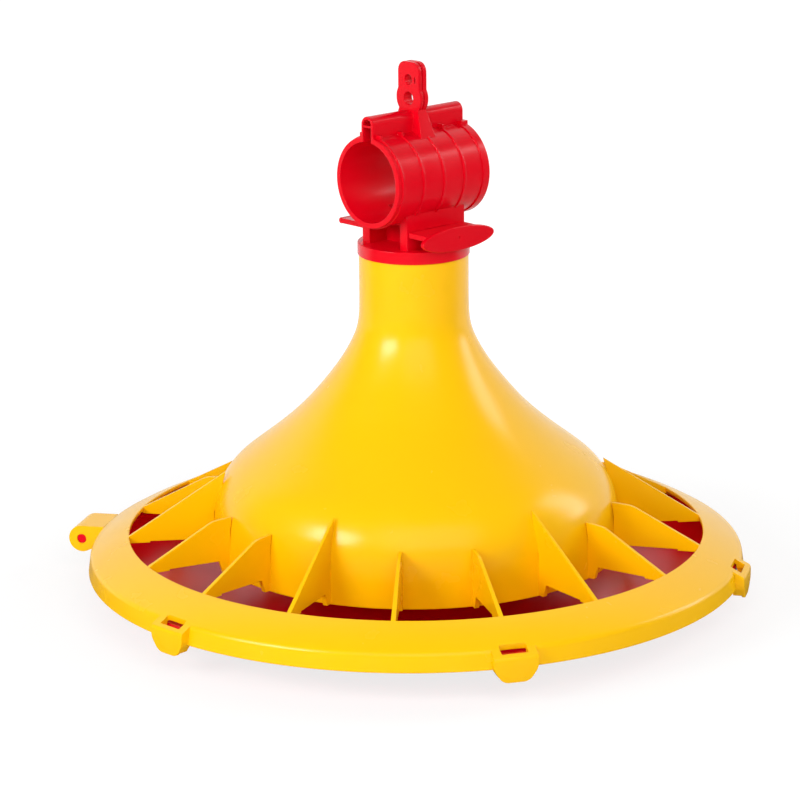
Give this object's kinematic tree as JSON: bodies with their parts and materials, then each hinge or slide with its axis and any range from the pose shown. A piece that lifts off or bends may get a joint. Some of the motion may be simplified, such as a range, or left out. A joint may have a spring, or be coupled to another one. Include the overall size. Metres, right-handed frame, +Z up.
{
  "type": "poultry pan feeder",
  "caption": "Hanging poultry pan feeder: flat round pan under a finned cone grille with a tall neck, topped by a pipe socket tee with a hanger eye and a pull-out shut-off slide.",
  "frame": {"origin": "on the drop axis, at the level of the pan's flat base", "axes": "+X along the feed pipe socket; +Z up the drop axis; the slide's finger leaf is on the -Y side"},
  "size_m": [0.389, 0.38, 0.313],
  "materials": {
    "red_plastic": "glossy moulded polypropylene, signal red",
    "yellow_plastic": "glossy moulded polypropylene, warm yellow"
  },
  "bodies": {
    "feeder": {"pipe_tee": "red_plastic", "cone_grille": "yellow_plastic"},
    "slide": {"shutoff_slide": "red_plastic"},
    "pan": {"feed_pan": "red_plastic"}
  },
  "joints": [
    {"name": "shutoff_slide_pull", "type": "slide", "parent": "feeder", "child": "slide", "axis": [0, -1, 0], "range_m": [0, 0.028]},
    {"name": "pan_hinge", "type": "hinge", "parent": "feeder", "child": "pan", "pos_m": [-0.10886, 0.16956, 0.0225], "axis": [0.8415, 0.5402, 0], "range_deg": [0, 90]}
  ]
}
